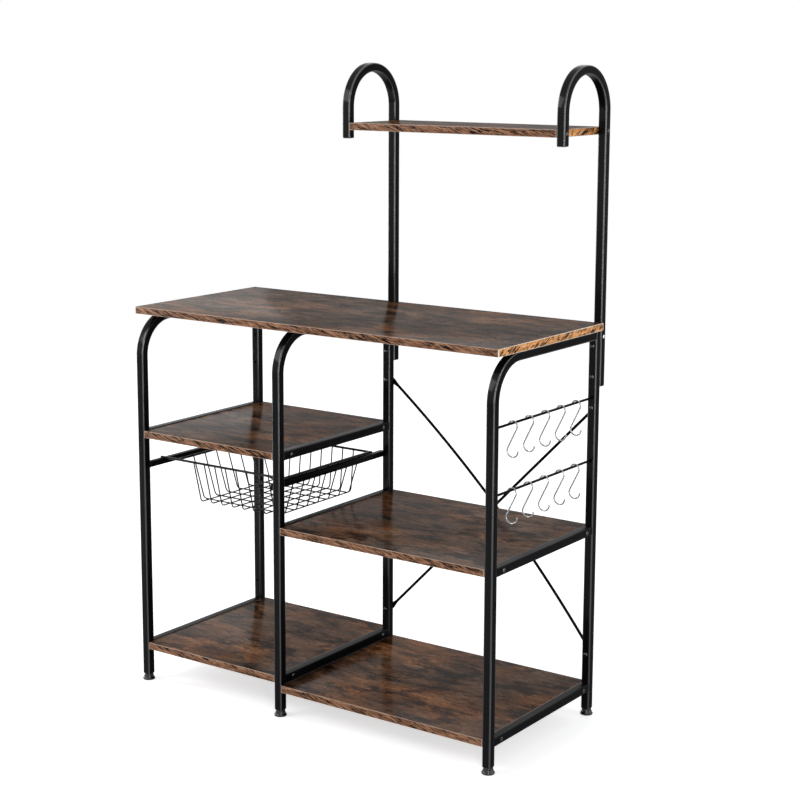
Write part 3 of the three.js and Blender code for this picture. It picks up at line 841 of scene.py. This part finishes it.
def bead(start, finish, number):
    """One pass of weld along an edge, whose puddles swell and wander a little."""
    count = max(4, round((finish - start).length / bead_step))
    line = [start.lerp(finish, i / count) for i in range(count + 1)]
    for i in range(1, count):
        line[i] = line[i] + backward * (bead_wander * math.sin(bead_turns["wander"] * i + number))
    return line, bead_radius, ripple(count, bead_turns["next bead"] * number)


def circle_point(centre, radius, angle):
    """A point of a circle in the XZ plane, angles from +X towards +Z."""
    return Vector((centre.x + radius * math.cos(angle), centre.y, centre.z + radius * math.sin(angle)))


bead_lines = []
for node in shelf_rails + ["basket_runner_left", "basket_runner_right"]:
    low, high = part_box(node)
    welded_edges = (low.z,) if node.startswith("basket") else (low.z, high.z)
    for y in (low.y, high.y):
        for z in welded_edges:
            bead_lines.append(bead(
                Vector((low.x + bead_margin, y, z)), Vector((high.x - bead_margin, y, z)), len(bead_lines)))
for row in ("upper", "lower"):
    low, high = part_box(f"hook_rod_{row}")
    centre = (low + high) / 2
    for y in (low.y + ring_inset, high.y - ring_inset):
        ring_centre = Vector((centre.x, y, centre.z))
        ring = [
            circle_point(ring_centre, (high.z - low.z) / 2, 2 * math.pi * i / ring_points)
            for i in range(ring_points + 1)
        ]
        bead_lines.append((ring, ring_radius, ripple(ring_points)))
wire_piece("weld_beads", bead_lines, powder_coat, sides=10)


# Basket
# One welded wire basket: a thick rim whose front and rear wires run across to both runners, U-shaped wires
# from front to back and from side to side that cross in the floor, all coated black.
basket_coat = skin_material(
    "basket_coat", dark=(0.0045, 0.0045, 0.005), light=(0.009, 0.009, 0.010), rough=(0.24, 0.34),
    grain=1800, drift=20, bump=0.12, shine=0.22)
rim_radius = 0.0025
rim_lap = 0.001
basket_wire = 0.0014
wire_weld = 0.0005
basket_bend = 0.009
bend_points = 7
rim_low, rim_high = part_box("basket_front")
basket_x = (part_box("basket_left")[0].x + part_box("basket_right")[1].x) / 2
rim_z = rim_high.z - rim_radius
rim_front = rim_low.y + rim_radius
rim_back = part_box("basket_back")[1].y - rim_radius
lower_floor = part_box("basket_floor")[0].z + basket_wire
upper_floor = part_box("basket_floor")[1].z - basket_wire
rim_inset = rim_radius + basket_wire - wire_weld
front_taper, back_taper, side_taper = 0.026, 0.013, 0.032
lengthwise_count, lengthwise_margin = 8, 0.0095
crosswise_count, crosswise_margin = 7, 0.020
side_reach = basket_x - (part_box("basket_left")[0].x + rim_radius)
floor_reach = side_reach - side_taper
floor_front = rim_front + front_taper
floor_back = rim_back - back_taper


def evenly(low, high, count):
    return [low + (high - low) * i / (count - 1) for i in range(count)]


def bent_corner(before, corner, after, radius):
    """Points of a round bend of this radius between two straight stretches."""
    one = (before - corner).normalized()
    two = (after - corner).normalized()
    half_angle = one.angle(two) / 2
    centre = corner + (one + two).normalized() * (radius / math.sin(half_angle))
    start = corner + one * (radius / math.tan(half_angle)) - centre
    finish = corner + two * (radius / math.tan(half_angle)) - centre
    return [centre + start.slerp(finish, i / (bend_points - 1)) * radius for i in range(bend_points)]


def u_wire(*corners):
    """A wire bent into a U through its four corners, with its radius."""
    points = [Vector(corner) for corner in corners]
    line = [points[0]] + bent_corner(*points[:3], basket_bend) + bent_corner(*points[1:], basket_bend)
    return line + [points[3]], basket_wire


basket_lines = []
for y in (rim_front, rim_back):
    basket_lines.append(([Vector((x, y, rim_z)) for x in (rim_low.x, rim_high.x)], rim_radius))
for x in (basket_x - side_reach, basket_x + side_reach):
    rim = [Vector((x, y, rim_z)) for y in (rim_front + rim_lap, rim_back - rim_lap)]
    basket_lines.append((rim, rim_radius))
wire_reach = floor_reach - lengthwise_margin
for x in evenly(basket_x - wire_reach, basket_x + wire_reach, lengthwise_count):
    basket_lines.append(u_wire(
        (x, rim_front + rim_inset, rim_z), (x, floor_front, lower_floor), (x, floor_back, lower_floor),
        (x, rim_back - rim_inset, rim_z)))
for y in evenly(floor_front + crosswise_margin, floor_back - crosswise_margin, crosswise_count):
    basket_lines.append(u_wire(
        (basket_x - side_reach + rim_inset, y, rim_z), (basket_x - floor_reach, y, upper_floor),
        (basket_x + floor_reach, y, upper_floor), (basket_x + side_reach - rim_inset, y, rim_z)))
basket = wire_piece("wire_basket", basket_lines, basket_coat, "basket", sides=10)
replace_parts(basket, "basket_front", "basket_back", "basket_left", "basket_right", "basket_floor")


# Hook rods
# Two 5 mm round steel bars across the right frame, from which the hooks hang. They are welded between its
# legs and coated with it.
for row in ("upper", "lower"):
    low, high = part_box(f"hook_rod_{row}")
    centre = (low + high) / 2
    line = [Vector((centre.x, y, centre.z)) for y in (low.y, high.y)]
    rod = wire_piece(f"hook_bar_{row}", [(line, (high.z - low.z) / 2)], powder_coat, sides=24)
    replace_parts(rod, f"hook_rod_{row}")


# S-hooks
# Ten hooks of 3 mm wire, chrome plated: a small loop over the rod, a slanting shank and a wider bowl. Each
# hangs and swings by itself.
chrome_plate = skin_material(
    "chrome_plate", dark=(0.34, 0.35, 0.37), light=(0.46, 0.47, 0.49), rough=(0.08, 0.16),
    grain=1200, drift=60, bump=0.04, metallic=1.0)
hook_wire = 0.0015
hook_loop, hook_bowl = 0.0098, 0.0118
hook_bowl_drop = 0.0533
hook_loop_stop, hook_bowl_turn = 0.2, 0.1
hook_rest = 0.0003
hook_steps = 24


def hook_line(rod_radius):
    """The hook's wire about its rod's centre, in the XZ plane, turned so that it hangs by its weight."""
    loop = Vector((0, 0, rod_radius + hook_rest + hook_wire - hook_loop))
    bowl = Vector((0, 0, -hook_bowl_drop))
    slant = math.asin((hook_loop + hook_bowl) / (loop.z - bowl.z))
    points = []
    for centre, radius, start, stop in (
        (loop, hook_loop, math.pi - hook_loop_stop, -slant),
        (bowl, hook_bowl, math.pi - slant, 2 * math.pi + hook_bowl_turn),
    ):
        angles = [start + (stop - start) * i / hook_steps for i in range(hook_steps + 1)]
        points += [circle_point(centre, radius, angle) for angle in angles]
    weight = Vector()
    for before, after in zip(points, points[1:]):
        weight += (before + after) / 2 * (after - before).length
    lean = math.atan2(-weight.x, -weight.z)
    return [Matrix.Rotation(-lean, 3, "Y") @ point for point in points]


for row in ("upper", "lower"):
    rod_low, rod_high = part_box(f"hook_rod_{row}")
    rod_centre = (rod_low + rod_high) / 2
    for number in range(1, 6):
        node = f"s_hook_{row}_{number}"
        hook_low, hook_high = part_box(node)
        hang = Vector((rod_centre.x, (hook_low.y + hook_high.y) / 2, rod_centre.z))
        line = [hang + point for point in hook_line((rod_high.z - rod_low.z) / 2)]
        hook = wire_piece(
            f"{node}_wire", [(line, hook_wire)], chrome_plate, f"hook_{row}_{number}",
            sides=16)
        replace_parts(hook, node)


# Cross brace
# Two 6 mm round rods behind the wide bay, with flattened, drilled ends bolted to the rear legs. The rear rod
# bows a little, to pass behind the front one.
brace_radius = 0.003
brace_gap = 0.0004
brace_tab = 0.0026
brace_tab_reach = 0.007
brace_tab_half = 0.92 * brace_tab_reach
brace_tab_end = 1.04 * brace_tab_reach
brace_tab_squareness = 0.62
brace_shoulder = 0.016
brace_flattening = 0.95 * brace_shoulder
brace_bow = 0.019
brace_pass = 0.0064
brace_steps = 48
brace_sides = 20
round_end = 1.4 * brace_shoulder
brace_stations = [
    -brace_tab_reach, -0.86 * brace_tab_reach, -0.5 * brace_tab_reach, 0.0, 0.45 * brace_shoulder,
    0.7 * brace_shoulder, brace_shoulder, round_end,
]


def brace_ends(place):
    """The middles of the two bolts that hold a rod."""
    sides = ("right", "middle") if place == "front" else ("middle", "right")
    ends = []
    for side, level in zip(sides, ("upper", "lower")):
        low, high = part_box(f"brace_bolt_{side}_{level}")
        ends.append(Vector(((low.x + high.x) / 2, 0, (low.z + high.z) / 2)))
    return ends


def brace_rod(place, bow, depth):
    """A round section that flattens towards both ends, along a line with a little bow."""
    leg_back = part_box("rear_leg_right")[1].y
    axis_y = leg_back + brace_radius + brace_gap
    seat_y = leg_back + brace_tab / 2
    one, two = brace_ends(place)
    run = two - one
    length = run.length
    along_run = run.normalized()
    square_up = Vector((-run.z, 0, run.x)).normalized()
    if square_up.z < 0:
        square_up.negate()
    middle = [round_end + (length - 2 * round_end) * i / brace_steps for i in range(1, brace_steps)]
    outlines = []
    for s in brace_stations + middle + [length - s for s in reversed(brace_stations)]:
        share = min(max(s / length, 0.0), 1.0)
        hump = 4 * share * (1 - share)
        from_end = min(s, length - s)
        flat = min(max((round_end - from_end) / brace_flattening, 0.0), 1.0)
        flat = flat * flat * (3 - 2 * flat)
        width = brace_radius + (brace_tab_half - brace_radius) * flat
        if from_end < 0:
            width *= math.sqrt(max(1 - (from_end / brace_tab_end) ** 2, 0.05))
        thick = brace_radius + (brace_tab / 2 - brace_radius) * flat
        squareness = 1 - brace_tab_squareness * flat
        centre = one + along_run * s + square_up * (bow * hump)
        centre.y = axis_y + (seat_y - axis_y) * flat + depth * hump
        outline = []
        for i in range(brace_sides):
            angle = 2 * math.pi * i / brace_sides
            parts = (math.cos(angle), math.sin(angle))
            u, v = (math.copysign(abs(part) ** squareness, part) for part in parts)
            outline.append(centre + square_up * (u * width) + backward * (v * thick))
        outlines.append(outline)
    return finished(f"cross_brace_{place}", lofted(outlines), powder_coat)


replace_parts(brace_rod("front", 0.0, 0.0), "brace_rod_front")
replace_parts(brace_rod("rear", brace_bow, brace_pass), "brace_rod_rear")


# Frame bolts
# Black M5 bolts along Y: domed heads with a cross recess on the front of the rear legs, hexagon nuts behind
# the post or the brace. They hold the hutch posts and the cross brace.
bolt_black = skin_material(
    "blackened_steel", dark=(0.060, 0.060, 0.064), light=(0.130, 0.130, 0.138), rough=(0.12, 0.22),
    grain=2500, drift=120, bump=0.08, metallic=0.95)
head_clearance = 0.0001
head_steps = 8
head_edge = 0.35
recess_share = 0.5
recess_slot = 0.42
bolt_recess_depth = 0.0012
shank_radius = 0.0025
shank_chamfer = 0.0005
nut_height = 0.0036
nut_seat = 0.004
nut_ease = 0.0003


def domed_head(radius, height):
    """Half outline of a pan head, base at zero, whose dome starts at the height of its edge."""
    angles = [math.pi / 2 * i / head_steps for i in range(head_steps)]
    rise = 1 - head_edge
    dome = [(radius * math.cos(angle), height * (head_edge + rise * math.sin(angle))) for angle in angles]
    return [(0, 0), (radius, 0)] + dome + [(0, height)]


def cross_recess(centre, axis, size, depth):
    """Cutter for a cross recess: two crossed slots."""
    work = bmesh.new()
    turn = upward.rotation_difference(axis).to_matrix().to_4x4()
    for quarter in (0, math.pi / 2):
        bar = bmesh.ops.create_cube(work, size=1.0)["verts"]
        bmesh.ops.scale(work, verts=bar, vec=(size * 2, size * recess_slot, depth * 2))
        spin = Matrix.Rotation(quarter + math.pi / 4, 3, "Z")
        bmesh.ops.rotate(work, verts=bar, cent=(0, 0, 0), matrix=spin)
        bmesh.ops.transform(work, verts=bar, matrix=Matrix.Translation(centre) @ turn)
    return work


def merge(work, other):
    """Adds another bmesh to this one."""
    mesh = bpy.data.meshes.new("part")
    other.to_mesh(mesh)
    other.free()
    work.from_mesh(mesh)
    bpy.data.meshes.remove(mesh)


def screw_head(name, radius, height, centre, axis, material, slot, recess_size, recess_depth):
    """A domed head with a cross recess, which stands on its centre and points along its axis."""
    head = finished(name, turned(domed_head(radius, height), centre, axis), material, slot=slot, smooth=50)
    cut_away(head, cross_recess(centre + axis * height, axis, recess_size, recess_depth), crosses_itself=True)
    return head


for kind in ("post_bolt", "brace_bolt"):
    for side in ("middle", "right"):
        for level in ("upper", "lower"):
            node = f"{kind}_{side}_{level}"
            low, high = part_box(node)
            x, z = (low.x + high.x) / 2, (low.z + high.z) / 2
            radius = (high.z - low.z) / 2 - head_clearance
            leg_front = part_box(f"rear_leg_{side}")[0].y
            seat = Vector((x, leg_front, z))
            reach = high.y - leg_front
            bolt = screw_head(
                f"{node}_steel", radius, leg_front - low.y, seat, -backward, bolt_black, "bolt_black",
                recess_share * radius, bolt_recess_depth)
            work = bmesh.new()
            work.from_mesh(bolt.data)
            shank = [
                (0, 0), (shank_radius, 0), (shank_radius, reach - shank_chamfer),
                (shank_radius - shank_chamfer, reach), (0, reach),
            ]
            merge(work, turned(shank, seat, backward))
            nut = bmesh.new()
            nut_centre = (x, high.y - nut_seat + nut_height / 2, z)
            bmesh.ops.create_cone(
                nut, cap_ends=True, segments=6, radius1=radius, radius2=radius, depth=nut_height,
                matrix=Matrix.Translation(nut_centre) @ Matrix.Rotation(math.pi / 2, 4, "X"),
            )
            eased(nut, nut.edges[:], nut_ease, 2, 0.5)
            merge(work, nut)
            work.to_mesh(bolt.data)
            work.free()
            bolt.data.set_sharp_from_angle(angle=math.radians(40))
            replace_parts(bolt, node)


# Lock screw
# One bright zinc-plated screw in the outer side of the right post, just under the worktop. Its domed head
# with a cross recess is all that shows.
zinc_plate = skin_material(
    "zinc_plate", dark=(0.72, 0.73, 0.74), light=(0.84, 0.85, 0.86), rough=(0.16, 0.26),
    grain=1500, drift=90, bump=0.05, metallic=1.0)
lock_recess, lock_recess_depth = 0.0018, 0.0010
low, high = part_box("lock_screw")
post_face = Vector((low.x, (low.y + high.y) / 2, (low.z + high.z) / 2))
lock_screw = screw_head(
    "lock_screw_head", (high.y - low.y) / 2, high.x - low.x, post_face, across, zinc_plate, "zinc",
    lock_recess, lock_recess_depth)
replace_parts(lock_screw, "lock_screw")


# Board screws
# Black pan-head screws through the rails and posts into the ends of the boards, two to each end. One screw is
# modelled and copied to every place by a tree, turned by a fixed seed.
board_screw_radius = 0.0042
board_screw_height = 0.0019
board_recess_depth = 0.0009
screw_inset = 0.040
screw_seed = 7


def screw_tree(screw):
    """Copies the screw to every place, facing outwards, each turned by chance about its own axis."""
    tree = bpy.data.node_groups.new("board_screws", "GeometryNodeTree")
    given, result, inputs = with_sockets(tree, [
        ("Geometry", "Geometry"), ("Seed", "Int"), ("Finish", "Material")], [("Geometry", "Geometry")])
    source = placed(tree, "GeometryNodeObjectInfo", {"Object": screw})
    facing = placed(tree, "GeometryNodeInputNamedAttribute", {"Name": "facing"}, data_type="FLOAT_VECTOR")
    align = placed(tree, "FunctionNodeAlignRotationToVector", {
        "Vector": facing.outputs["Attribute"]}, axis="Z")
    spin = placed(tree, "FunctionNodeRandomValue", {
        2: 0.0, 3: math.pi, "Seed": given["Seed"]}, data_type="FLOAT")
    turn = placed(tree, "FunctionNodeAxisAngleToRotation", {
        "Axis": (0.0, 0.0, 1.0), "Angle": spin.outputs[1]})
    both = placed(tree, "FunctionNodeRotateRotation", {
        "Rotation": align.outputs["Rotation"], "Rotate By": turn.outputs["Rotation"]}, rotation_space="LOCAL")
    copies = placed(tree, "GeometryNodeInstanceOnPoints", {
        "Points": given["Geometry"], "Instance": source.outputs["Geometry"],
        "Rotation": both.outputs["Rotation"],
    })
    real = placed(tree, "GeometryNodeRealizeInstances", {"Geometry": copies.outputs["Instances"]})
    coat = placed(tree, "GeometryNodeSetMaterial", {
        "Geometry": real.outputs["Geometry"], "Material": given["Finish"]})
    fed(tree, result, {"Geometry": coat.outputs["Geometry"]})
    return tree, inputs[1:]


pattern = screw_head(
    "screw_pattern", board_screw_radius, board_screw_height, Vector(), upward, bolt_black, "bolt_black",
    recess_share * board_screw_radius, board_recess_depth)

screw_places = []
frame_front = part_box("front_leg_left")[0].y
frame_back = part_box("rear_leg_left")[1].y
for node, outward in (
    ("rail_left_upper", -1), ("rail_left_bottom", -1), ("rail_middle_upper", 1),
    ("rail_middle_bottom_upper", 1), ("rail_middle_centre", -1), ("rail_middle_bottom_lower", -1),
    ("rail_right_centre", 1), ("rail_right_bottom", 1),
):
    low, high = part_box(node)
    face = high.x if outward > 0 else low.x
    for y in (frame_front + screw_inset, frame_back - screw_inset):
        screw_places.append((Vector((face, y, (low.z + high.z) / 2)), across * outward))
shelf_low, shelf_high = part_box("hutch_shelf")
for side, outward in (("middle", -1), ("right", 1)):
    low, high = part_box(f"hutch_post_{side}")
    face = high.x if outward > 0 else low.x
    for y in (low.y + tube_side / 2, high.y - tube_side / 2):
        screw_places.append((Vector((face, y, (shelf_low.z + shelf_high.z) / 2)), across * outward))

places = bpy.data.meshes.new("places")
places.from_pydata([place for place, _ in screw_places], [], [])
facing = places.attributes.new("facing", "FLOAT_VECTOR", "POINT")
facing.data.foreach_set("vector", [value for _, way in screw_places for value in way])
board_screws = bpy.data.objects.new(
    "board_screws", grown(places, *screw_tree(pattern), (screw_seed, bolt_black)))
bpy.context.scene.collection.objects.link(board_screws)
bpy.data.objects.remove(pattern)
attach(board_screws, "rack")
